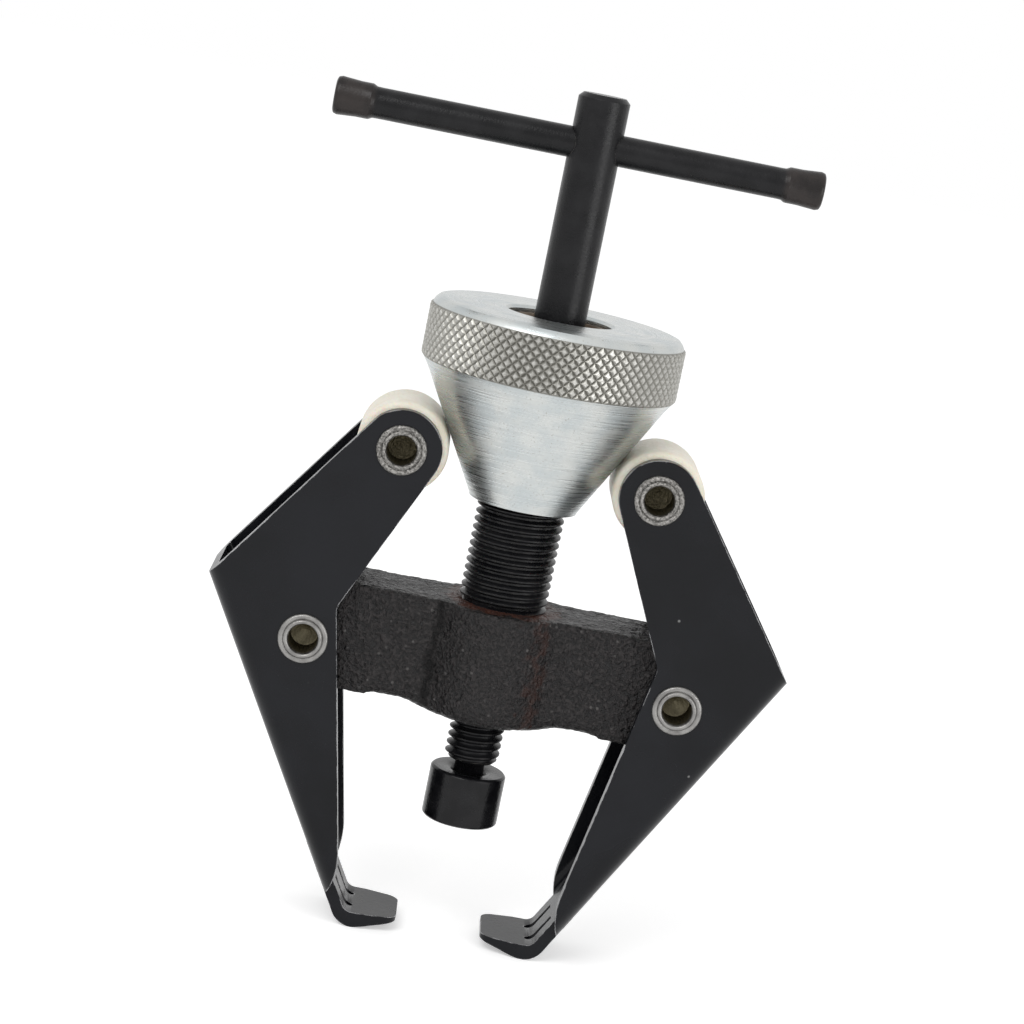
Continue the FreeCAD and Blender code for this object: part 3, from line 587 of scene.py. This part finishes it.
for side in ("left", "right"):
    arm = copy_of_node(f"{side}_arm", f"{side}_arm_pressed")
    bpy.ops.object.mode_set(mode="EDIT")
    corners = choose(arm, "edges", at_tip_corner)
    bpy.ops.mesh.bevel(offset=2 * MM, segments=6, affect="EDGES")
    bpy.ops.object.mode_set(mode="OBJECT")
    print("tip corners rounded:", corners)
    soften(arm, 0.38 * MM, segments=3, angle=40)
    hand_over(arm, f"{side}_arm", f"arm_{side}", "black_painted_sheet")

# %% [markdown]
# ## Rollers and rivets
#
# The rollers are moulded nylon with well rounded rims. The rivets are drilled at both ends and rolled
# over: a collar lies on the plate, and inside it the hole's own lip stands up and curls back. One of
# each is modelled, laid along the arms' pivots and copied to its places.

# %% Turn one roller
roller_low, roller_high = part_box("left_roller")
roller_radius = (roller_high.x - roller_low.x) / 2
roller_half = roller_high.y
RIM = 1.1 * MM
quarter = [math.radians(angle) for angle in (0, 30, 60, 90)]
rim_arc = [
    (roller_radius - RIM + RIM * math.sin(a), roller_half - RIM + RIM * math.cos(a)) for a in quarter
]
roller_bore = 3.36 * MM
roller_outline = [
    (roller_bore, roller_half),
    *rim_arc,
    *[(radius, -height) for radius, height in reversed(rim_arc)],
    (roller_bore, -roller_half),
]
roller = lay_along(turned("roller_blank", roller_outline, segments=72), "Y")
bpy.ops.object.shade_smooth_by_angle(angle=math.radians(35))

# %% Turn one rivet
rivet_low, rivet_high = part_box("left_pivot_rivet")
rivet_end = rivet_high.y
PLATE_FACE = 10.8 * MM
RIVET_BORE = 2.6 * MM
SHANK_RADIUS = 3.3 * MM
hole_floor = rivet_end - 7 * MM
collar_radius = (rivet_high.x - rivet_low.x) / 2
collar_height = rivet_end - PLATE_FACE
half_rivet = [
    (0.3 * MM, hole_floor - 0.9 * MM),
    (RIVET_BORE, hole_floor),
    (RIVET_BORE, rivet_end - 1.3 * MM),
    (RIVET_BORE + 0.05 * MM, rivet_end - 0.5 * MM),
    (RIVET_BORE + 0.22 * MM, rivet_end - 0.12 * MM),
    (RIVET_BORE + 0.5 * MM, rivet_end),
    (RIVET_BORE + 0.78 * MM, rivet_end - 0.12 * MM),
    (RIVET_BORE + 0.92 * MM, PLATE_FACE + 0.5 * collar_height),
    (RIVET_BORE + 1.08 * MM, PLATE_FACE + 0.6 * collar_height),
    (collar_radius - 0.45 * MM, PLATE_FACE + 0.66 * collar_height),
    (collar_radius - 0.15 * MM, PLATE_FACE + 0.56 * collar_height),
    (collar_radius, PLATE_FACE + 0.3 * collar_height),
    (collar_radius, PLATE_FACE),
    (SHANK_RADIUS, PLATE_FACE),
]
rivet_outline = half_rivet + [(radius, -height) for radius, height in reversed(half_rivet)]
rivet = lay_along(turned("rivet_blank", rivet_outline, segments=56, hollow=False), "Y")
bpy.ops.object.shade_smooth_by_angle(angle=math.radians(50))

# %% Set the copies in place
for side in ("left", "right"):
    places = (
        (roller, f"{side}_roller", f"roller_{side}", "cream_nylon"),
        (rivet, f"{side}_roller_rivet", f"arm_{side}", "bare_rivet_steel"),
        (rivet, f"{side}_pivot_rivet", f"arm_{side}", "bare_rivet_steel"),
    )
    for blank, node, body, slot in places:
        low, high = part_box(node)
        piece = copied(blank, f"{node}_finished")
        shift(piece, (low + high) / 2)
        hand_over(piece, node, body, slot)
for blank in (roller, rivet):
    bpy.data.objects.remove(blank, do_unlink=True)

# %% [markdown]
# ## Finishes
#
# The parts that several finishes share are node groups: marks of the lathe, uneven tone, and worn
# edges. A group gives out values only. Each material keeps its own Principled shader and mixes the
# group's values with its own numbers. All patterns use Object coordinates, which are metres here,
# so a noise scale of 1000 has grains of about a millimetre.


# %% Build a node group with named sockets
def effect(name, inputs, outputs):
    """A new group, its nodes' collection, and its input and output nodes."""
    group = bpy.data.node_groups.new(name, "ShaderNodeTree")
    for socket, value in inputs.items():
        made = group.interface.new_socket(name=socket, in_out="INPUT", socket_type="NodeSocketFloat")
        made.default_value = value
    for socket in outputs:
        group.interface.new_socket(name=socket, in_out="OUTPUT", socket_type="NodeSocketFloat")
    return group, group.nodes.new("NodeGroupInput"), group.nodes.new("NodeGroupOutput")


def node(tree, kind, **settings):
    """A node with its properties set; a name that is no property is an input socket's value."""
    made = tree.nodes.new(f"ShaderNode{kind}")
    for setting, value in settings.items():
        if hasattr(made, setting):
            setattr(made, setting, value)
        else:
            made.inputs[setting.replace("_", " ").title()].default_value = value
    return made


def sums(tree, operation, first, second=None, third=None):
    """A Math node; each term is a socket or a plain number."""
    made = tree.nodes.new("ShaderNodeMath")
    made.operation = operation
    for socket, term in zip(made.inputs, (first, second, third)):
        if isinstance(term, bpy.types.NodeSocket):
            tree.links.new(term, socket)
        elif term is not None:
            socket.default_value = term
    return made.outputs[0]


def ramp(tree, value, low, high):
    """0 below low and 1 above high, with a smooth step between; low may be the higher."""
    made = tree.nodes.new("ShaderNodeMapRange")
    made.interpolation_type = "SMOOTHSTEP"
    tree.links.new(value, made.inputs["Value"])
    if low > high:
        low, high = high, low
        made.inputs["To Min"].default_value = 1
        made.inputs["To Max"].default_value = 0
    made.inputs["From Min"].default_value = low
    made.inputs["From Max"].default_value = high
    return made.outputs["Result"]


def place_of(tree):
    """A point's Object coordinates: the vector, then X, Y and Z on their own."""
    place = tree.nodes.new("ShaderNodeTexCoord").outputs["Object"]
    apart = tree.nodes.new("ShaderNodeSeparateXYZ")
    tree.links.new(place, apart.inputs[0])
    return place, *apart.outputs


def distance_from_axis(tree, x, y):
    """How far a point is from the Z axis."""
    return sums(tree, "SQRT", sums(tree, "ADD", sums(tree, "POWER", x, 2), sums(tree, "POWER", y, 2)))


# %% Uneven tone
def uneven_tone():
    """Broad clouds and fine grain, each from 0 to 1."""
    group, inside, out = effect("uneven tone", {"Cloud Scale": 150, "Grain Scale": 2500},
                                ["Clouds", "Grain"])
    place, *_ = place_of(group)
    for scale, detail, result in (("Cloud Scale", 4, "Clouds"), ("Grain Scale", 3, "Grain")):
        noise = node(group, "TexNoise", Detail=detail)
        group.links.new(place, noise.inputs["Vector"])
        group.links.new(inside.outputs[scale], noise.inputs["Scale"])
        group.links.new(ramp(group, noise.outputs["Fac"], 0.3, 0.7), out.inputs[result])
    return group


# %% Marks of the lathe
def lathe_marks():
    """Fine rings about the Z axis, crowded along a profile and slow to change around it."""
    around = 90
    group, inside, out = effect("lathe marks", {"Fineness": 1600}, ["Rings"])
    _, x, y, height = place_of(group)
    travel = sums(group, "ADD", distance_from_axis(group, x, y), height)
    rings = group.nodes.new("ShaderNodeCombineXYZ")
    group.links.new(sums(group, "MULTIPLY", x, around), rings.inputs["X"])
    group.links.new(sums(group, "MULTIPLY", y, around), rings.inputs["Y"])
    group.links.new(sums(group, "MULTIPLY", travel, inside.outputs["Fineness"]), rings.inputs["Z"])
    noise = node(group, "TexNoise", Scale=1, Detail=3)
    group.links.new(rings.outputs[0], noise.inputs["Vector"])
    group.links.new(noise.outputs["Fac"], out.inputs["Rings"])
    return group


# %% Worn edges
def worn_edges():
    """1 along edges that stick out, broken up by noise."""
    group, inside, out = effect("worn edges", {"Width": 0.3 * MM, "Patchiness": 700, "Reach": 0.3},
                                ["Mask"])
    rounded = node(group, "Bevel", samples=6)
    group.links.new(inside.outputs["Width"], rounded.inputs["Radius"])
    true_face = group.nodes.new("ShaderNodeNewGeometry")
    likeness = node(group, "VectorMath", operation="DOT_PRODUCT")
    group.links.new(rounded.outputs["Normal"], likeness.inputs[0])
    group.links.new(true_face.outputs["Normal"], likeness.inputs[1])
    turn = sums(group, "SUBTRACT", 1, likeness.outputs["Value"])
    noise = node(group, "TexNoise", Detail=4)
    group.links.new(place_of(group)[0], noise.inputs["Vector"])
    group.links.new(inside.outputs["Patchiness"], noise.inputs["Scale"])
    patchy = sums(group, "MULTIPLY", turn, ramp(group, noise.outputs["Fac"], 0.35, 0.65))
    group.links.new(sums(group, "DIVIDE", patchy, inside.outputs["Reach"]), out.inputs["Mask"])
    return group


TONE = uneven_tone()
RINGS = lathe_marks()
WEAR = worn_edges()


# %% Start a material
def finish_of(name, **sockets):
    """A material with a Principled shader whose plain sockets are set."""
    material = bpy.data.materials.new(name)
    material.use_nodes = True
    tree = material.node_tree
    shader = tree.nodes["Principled BSDF"]
    for socket, value in sockets.items():
        shader.inputs[socket.replace("_", " ")].default_value = value
    return material, tree, shader


def use(tree, group, **values):
    """Place a group in a material with its own values."""
    made = tree.nodes.new("ShaderNodeGroup")
    made.node_tree = group
    for socket, value in values.items():
        made.inputs[socket.replace("_", " ")].default_value = value
    return made.outputs


def blended(tree, factor, first, second):
    """Two colours mixed by a value; a colour is a socket or three numbers."""
    made = node(tree, "Mix", data_type="RGBA")
    tree.links.new(factor, made.inputs[0])
    for socket, colour in ((made.inputs[6], first), (made.inputs[7], second)):
        if isinstance(colour, bpy.types.NodeSocket):
            tree.links.new(colour, socket)
        else:
            socket.default_value = (*colour, 1)
    return made.outputs[2]


def between(tree, factor, low, high):
    """A number that runs from low to high as the factor runs from 0 to 1."""
    return sums(tree, "MULTIPLY_ADD", factor, high - low, low)


def bumped(tree, shader, height, depth, strength=1.0):
    """Feed a height from 0 to 1 to the shader's normal as a bump of so many metres."""
    bump = tree.nodes.new("ShaderNodeBump")
    bump.inputs["Distance"].default_value = depth
    bump.inputs["Strength"].default_value = strength
    tree.links.new(height, bump.inputs["Height"])
    tree.links.new(bump.outputs["Normal"], shader.inputs["Normal"])


# %% [markdown]
# ### Zinc plate
#
# Bright, slightly blue, with the turning marks showing through and small dull spots. The floor of the
# knurl is darkened with painted shade, and brown grease stays in the nut's mouth.


# %% Zinc
def zinc_plate():
    material, tree, shader = finish_of("zinc_plate", Metallic=0.95, Anisotropic=0.4)
    tone = use(tree, TONE, Cloud_Scale=220, Grain_Scale=3200)
    rings = use(tree, RINGS, Fineness=2600)["Rings"]
    streaks = ramp(tree, rings, 0.35, 0.65)
    plain = blended(tree, tone["Clouds"], (0.49, 0.525, 0.53), (0.58, 0.595, 0.58))
    spots = ramp(tree, tone["Grain"], 0.03, 0.0)
    spotted = blended(tree, spots, plain, (0.36, 0.35, 0.32))
    _, x, y, height = place_of(tree)
    reach = distance_from_axis(tree, x, y)
    on_band = sums(tree, "MULTIPLY", ramp(tree, height, knurl_low - 0.1 * MM, knurl_low + 0.1 * MM),
                   ramp(tree, height, knurl_top + 0.1 * MM, knurl_top - 0.1 * MM))
    # The knurl is painted darker towards the floor of its grooves: this is painted shade.
    crown = ramp(tree, reach, knurl_floor - 0.02 * MM, disc_radius - 0.06 * MM)
    plateau = blended(tree, tone["Grain"], (0.33, 0.325, 0.30), (0.50, 0.495, 0.47))
    knurled = blended(tree, crown, (0.21, 0.205, 0.185), plateau)
    rimmed = blended(tree, on_band, spotted, knurled)
    in_mouth = sums(tree, "MULTIPLY", ramp(tree, reach, mouth + 0.3 * MM, mouth + 0.1 * MM),
                    ramp(tree, height, nut_high.z - 0.6 * MM, nut_high.z - 1.4 * MM))
    grease = blended(tree, tone["Clouds"], (0.07, 0.05, 0.035), (0.30, 0.25, 0.20))
    greased = blended(tree, in_mouth, rimmed, grease)
    tree.links.new(greased, shader.inputs["Base Color"])
    rough = sums(tree, "ADD", between(tree, streaks, 0.25, 0.36), between(tree, on_band, 0, 0.1))
    tree.links.new(rough, shader.inputs["Roughness"])
    bumped(tree, shader, rings, 0.05 * MM)
    return material


# %% [markdown]
# ### Black oxide
#
# Steel blackened in a bath: dark and satin, with a faint lathe mark, and grey where it rubs. The pad
# was ground before it went in, so it is glossier than the rest. The tommy bar's ends are scuffed
# brown where they were hammered; no other black piece reaches so far along X.


# %% Black oxide
def black_oxide(name, gloss):
    """Gloss is taken off the roughness of a satin finish."""
    material, tree, shader = finish_of(name, Specular_IOR_Level=0.22)
    tone = use(tree, TONE, Cloud_Scale=260, Grain_Scale=2400)
    worn = use(tree, WEAR, Width=0.35 * MM, Patchiness=900, Reach=0.25)["Mask"]
    dark = blended(tree, tone["Clouds"], (0.003, 0.003, 0.0038), (0.0085, 0.0085, 0.0095))
    rubbed = ramp(tree, worn, 0.25, 1)
    edged = blended(tree, rubbed, dark, (0.10, 0.095, 0.09))
    along = sums(tree, "ABSOLUTE", sums(tree, "SUBTRACT", place_of(tree)[1], bar_centre))
    at_ends = ramp(tree, along, half_bar - 7.6 * MM, half_bar - 6.4 * MM)
    hammered = sums(tree, "MULTIPLY", at_ends, between(tree, tone["Clouds"], 0.35, 0.9))
    tree.links.new(blended(tree, hammered, edged, (0.033, 0.027, 0.025)), shader.inputs["Base Color"])
    rough = between(tree, sums(tree, "ADD", tone["Clouds"], tone["Grain"]), 0.22 - gloss, 0.31 - gloss)
    tree.links.new(rough, shader.inputs["Roughness"])
    marks = use(tree, RINGS, Fineness=1800)["Rings"]
    bumped(tree, shader, sums(tree, "ADD", marks, tone["Grain"]), 0.012 * MM)
    return material


# %% [markdown]
# ### Painted sheet
#
# Satin black paint on pressed steel. It has a slight orange peel, a few pin-head specks, and it is
# worn through to the metal along the edges.


# %% Painted sheet
def painted_sheet():
    material, tree, shader = finish_of("painted_sheet", Specular_IOR_Level=0.2)
    tone = use(tree, TONE, Cloud_Scale=60, Grain_Scale=1500)
    worn = use(tree, WEAR, Width=0.4 * MM, Patchiness=420, Reach=0.3)["Mask"]
    black = blended(tree, tone["Clouds"], (0.0028, 0.0031, 0.0044), (0.0068, 0.0074, 0.0098))
    cells = node(tree, "TexVoronoi", Scale=260)
    tree.links.new(place_of(tree)[0], cells.inputs["Vector"])
    chosen = tree.nodes.new("ShaderNodeSeparateColor")
    tree.links.new(cells.outputs["Color"], chosen.inputs[0])
    specks = sums(tree, "MULTIPLY", ramp(tree, cells.outputs["Distance"], 0.09, 0.03),
                  ramp(tree, chosen.outputs[0], 0.86, 0.9))
    flecked = blended(tree, specks, black, (0.16, 0.16, 0.16))
    bare = ramp(tree, worn, 0.25, 0.8)
    tree.links.new(blended(tree, bare, flecked, (0.42, 0.42, 0.43)), shader.inputs["Base Color"])
    tree.links.new(bare, shader.inputs["Metallic"])
    tree.links.new(between(tree, tone["Clouds"], 0.22, 0.3), shader.inputs["Roughness"])
    bumped(tree, shader, sums(tree, "ADD", tone["Grain"], specks), 0.008 * MM)
    return material


# %% [markdown]
# ### Rough casting
#
# Black over brown, never even. Lighter specks are painted into the colour as glints where grit catches
# the light. Rust has crept out from under the spindle and run down one side of the boss, and a dark
# line of painted shade fills the corner on the other side.


# %% Rough casting
STREAK_PLACE = 7.5 * MM
# Where along X the line of painted shade runs down the corner beside the boss.
CORNER_SHADE_PLACE = -10.8 * MM


def rough_casting():
    material, tree, shader = finish_of("sand_casting")
    tone = use(tree, TONE, Cloud_Scale=420, Grain_Scale=1900)
    worn = use(tree, WEAR, Width=0.6 * MM, Patchiness=900, Reach=0.5)["Mask"]
    place, x, y, height = place_of(tree)
    skin = blended(tree, tone["Grain"], (0.003, 0.003, 0.0034), (0.024, 0.021, 0.021))
    cells = node(tree, "TexVoronoi", Scale=900)
    tree.links.new(place, cells.inputs["Vector"])
    chosen = tree.nodes.new("ShaderNodeSeparateColor")
    tree.links.new(cells.outputs["Color"], chosen.inputs[0])
    # Lighter specks are painted into the colour as glints, where grit would catch the light.
    painted_grit_glints = sums(tree, "MULTIPLY", ramp(tree, cells.outputs["Distance"], 0.35, 0.1),
                ramp(tree, chosen.outputs[0], 0.86, 1))
    skin_with_painted_glints = blended(tree, sums(tree, "MULTIPLY", painted_grit_glints, 0.4), skin, (0.2, 0.19, 0.185))
    edged = blended(tree, sums(tree, "MULTIPLY", ramp(tree, worn, 0.2, 1), 0.3), skin_with_painted_glints,
                    (0.13, 0.12, 0.115))
    wander = sums(tree, "MULTIPLY", sums(tree, "SUBTRACT", tone["Clouds"], 0.5), 3 * MM)
    rim = ramp(tree, sums(tree, "ADD", distance_from_axis(tree, x, y), wander),
               spindle_radius + 4 * MM, spindle_radius + 1.2 * MM)
    on_top = ramp(tree, height, bar_top - 1.8 * MM, bar_top - 0.8 * MM)
    creep = sums(tree, "MULTIPLY", rim, on_top)
    across = sums(tree, "SUBTRACT", sums(tree, "ADD", x, wander), STREAK_PLACE)
    in_front = ramp(tree, y, -7 * MM, -9 * MM)
    streak = sums(tree, "MULTIPLY", ramp(tree, sums(tree, "ABSOLUTE", across), 2 * MM, 0), in_front)
    rust = sums(tree, "MAXIMUM", sums(tree, "MULTIPLY", creep, 0.85),
                sums(tree, "MULTIPLY", streak, 0.35))
    rusty = blended(tree, rust, edged, (0.06, 0.022, 0.014))
    # The seam mask is a dark line of painted shade along the corner where the boss meets the bar, and
    # its specular is lowered with it.
    aside = sums(tree, "MULTIPLY_ADD", wander, 0.3, x)
    off_corner_shade = sums(tree, "ABSOLUTE", sums(tree, "SUBTRACT", aside, CORNER_SHADE_PLACE))
    seam = sums(tree, "MULTIPLY", ramp(tree, off_corner_shade, 1.5 * MM, 0.1 * MM), in_front)
    with_painted_corner_shade = blended(tree, seam, rusty, (0.003, 0.003, 0.003))
    tree.links.new(with_painted_corner_shade, shader.inputs["Base Color"])
    tree.links.new(between(tree, seam, 0.25, 0.08), shader.inputs["Specular IOR Level"])
    tree.links.new(between(tree, tone["Grain"], 0.27, 0.44), shader.inputs["Roughness"])
    pebbles = sums(tree, "SUBTRACT", tone["Grain"], cells.outputs["Distance"])
    bumped(tree, shader, sums(tree, "ADD", pebbles, tone["Clouds"]), 0.24 * MM)
    return material


# %% [markdown]
# ### Nylon
#
# Cream, a little translucent, and handled.


# %% Nylon
def cream_nylon():
    material, tree, shader = finish_of("moulded_nylon", Subsurface_Weight=0.25,
                                       Subsurface_Scale=1.2 * MM, Specular_IOR_Level=0.4)
    tone = use(tree, TONE, Cloud_Scale=260, Grain_Scale=1400)
    tree.links.new(blended(tree, tone["Clouds"], (0.75, 0.69, 0.57), (0.82, 0.78, 0.68)),
                   shader.inputs["Base Color"])
    tree.links.new(between(tree, tone["Clouds"], 0.38, 0.5), shader.inputs["Roughness"])
    bumped(tree, shader, sums(tree, "ADD", tone["Clouds"], tone["Grain"]), 0.08 * MM)
    return material


# %% [markdown]
# ### Rivet steel
#
# Bare steel that was rolled cold, brown with old oil down the hole. The roller rivets took more
# blows than the pivot rivets, and are pitted all over.


# %% Rivet steel
def rivet_steel():
    material, tree, shader = finish_of("rivet_steel", Metallic=0.9)
    tone = use(tree, TONE, Cloud_Scale=420, Grain_Scale=2600)
    _, _, y, height = place_of(tree)
    depth = sums(tree, "ABSOLUTE", y)
    smooth = blended(tree, tone["Clouds"], (0.19, 0.185, 0.18), (0.29, 0.285, 0.275))
    rough = blended(tree, tone["Grain"], (0.09, 0.087, 0.082), (0.32, 0.31, 0.295))
    upper = ramp(tree, height, bar_top, bar_top + 10 * MM)
    bright = blended(tree, upper, smooth, rough)
    inside = ramp(tree, depth, rivet_end - 0.5 * MM, rivet_end - 1.6 * MM)
    tree.links.new(blended(tree, inside, bright, (0.13, 0.115, 0.075)), shader.inputs["Base Color"])
    tree.links.new(between(tree, tone["Clouds"], 0.28, 0.45), shader.inputs["Roughness"])
    pitted = sums(tree, "MULTIPLY", sums(tree, "ADD", tone["Grain"], tone["Clouds"]),
                  between(tree, upper, 0.25, 1))
    bumped(tree, shader, pitted, 0.08 * MM)
    return material


# %% Give each piece its finish
FINISHES = {
    "zinc_plated_steel": zinc_plate(),
    "black_oxide_steel": black_oxide("black_oxide", gloss=0),
    "black_painted_sheet": painted_sheet(),
    "rough_casting": rough_casting(),
    "cream_nylon": cream_nylon(),
    "bare_rivet_steel": rivet_steel(),
}
ground_oxide = black_oxide("ground_black_oxide", gloss=0.1)
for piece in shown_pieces():
    piece.data.materials.clear()
    piece.data.materials.append(ground_oxide if piece == pad else FINISHES[piece["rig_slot"]])
    print(piece.name, "is", piece.active_material.name)

# %% [markdown]
# ## Floor, light and camera
#
# A pale floor in a white room. The room is the main light, so a colour renders about as it is
# written, and two soft lamps give the metal some direction. The camera sees both room and
# floor as white, and the floor keeps the puller's shadow.

# %% Floor
FLOOR_GAP = 0.02 * MM
bpy.ops.object.select_all(action="DESELECT")
bpy.ops.mesh.primitive_plane_add(size=6, location=(0, 0, cad_low.z - FLOOR_GAP))
floor = bpy.context.object
floor.name = "floor"
paint = bpy.data.materials.new("pale_floor")
paint.use_nodes = True
tree = paint.node_tree
surface = tree.nodes["Principled BSDF"]
surface.inputs["Base Color"].default_value = (0.86, 0.86, 0.86, 1)
surface.inputs["Roughness"].default_value = 0.9
surface.inputs["Specular IOR Level"].default_value = 0.1
glow = tree.nodes.new("ShaderNodeEmission")
path = tree.nodes.new("ShaderNodeLightPath")
seen = sums(tree, "MAXIMUM", path.outputs["Is Camera Ray"], path.outputs["Is Glossy Ray"])
tree.links.new(sums(tree, "MULTIPLY", seen, 0.42), glow.inputs["Strength"])
both = tree.nodes.new("ShaderNodeAddShader")
tree.links.new(surface.outputs[0], both.inputs[0])
tree.links.new(glow.outputs[0], both.inputs[1])
tree.links.new(both.outputs[0], tree.nodes["Material Output"].inputs["Surface"])
floor.data.materials.append(paint)
floor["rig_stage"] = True

# %% Room
room = bpy.data.worlds.new("white_room")
room.use_nodes = True
bpy.context.scene.world = room
tree = room.node_tree
sky = tree.nodes["Background"]
sky.inputs["Color"].default_value = (1, 1, 1, 1)
path = tree.nodes.new("ShaderNodeLightPath")
seen = sums(tree, "MAXIMUM", path.outputs["Is Camera Ray"], path.outputs["Is Glossy Ray"])
tree.links.new(between(tree, seen, 0.72, 1.0), sky.inputs["Strength"])


# %% Lamps
def soft_lamp(name, place, size, power):
    """A square lamp that looks at the middle of the puller."""
    bpy.ops.object.light_add(type="AREA", location=place)
    lamp = bpy.context.object
    lamp.name = name
    lamp.data.size = size
    lamp.data.energy = power
    middle = (cad_low + cad_high) / 2
    lamp.rotation_euler = (middle - lamp.location).to_track_quat("-Z", "Y").to_euler()


soft_lamp("key_lamp", (-0.35, -0.6, 0.7), size=0.5, power=3.2)
soft_lamp("side_lamp", (0.62, -0.52, 0.14), size=0.45, power=1.9)

# %% Camera
AZIMUTH = math.radians(-2.18)
ELEVATION = math.radians(10.31)
ROLL = math.radians(-11.47)
DISTANCE = 520 * MM
target = Vector((-1.54, 0, 57.47)) * MM
toward_camera = Vector((
    math.sin(AZIMUTH) * math.cos(ELEVATION),
    -math.cos(AZIMUTH) * math.cos(ELEVATION),
    math.sin(ELEVATION),
))
level = Vector((0, 0, 1)).cross(toward_camera).normalized()
upright = toward_camera.cross(level)
right = level * math.cos(ROLL) - upright * math.sin(ROLL)
up = level * math.sin(ROLL) + upright * math.cos(ROLL)
lens = bpy.data.cameras.new("camera")
lens.lens = 102.3
lens.clip_start = 0.01
camera = bpy.data.objects.new("camera", lens)
bpy.context.scene.collection.objects.link(camera)
camera.matrix_world = Matrix.Translation(target + toward_camera * DISTANCE) @ Matrix(
    (right, up, toward_camera)).transposed().to_4x4()
bpy.context.scene.camera = camera
bpy.context.scene.view_settings.view_transform = "Standard"

# %% Measure and finish
low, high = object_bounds()
print("visual box in mm:", [round(v / MM, 2) for v in (*low, *high)])
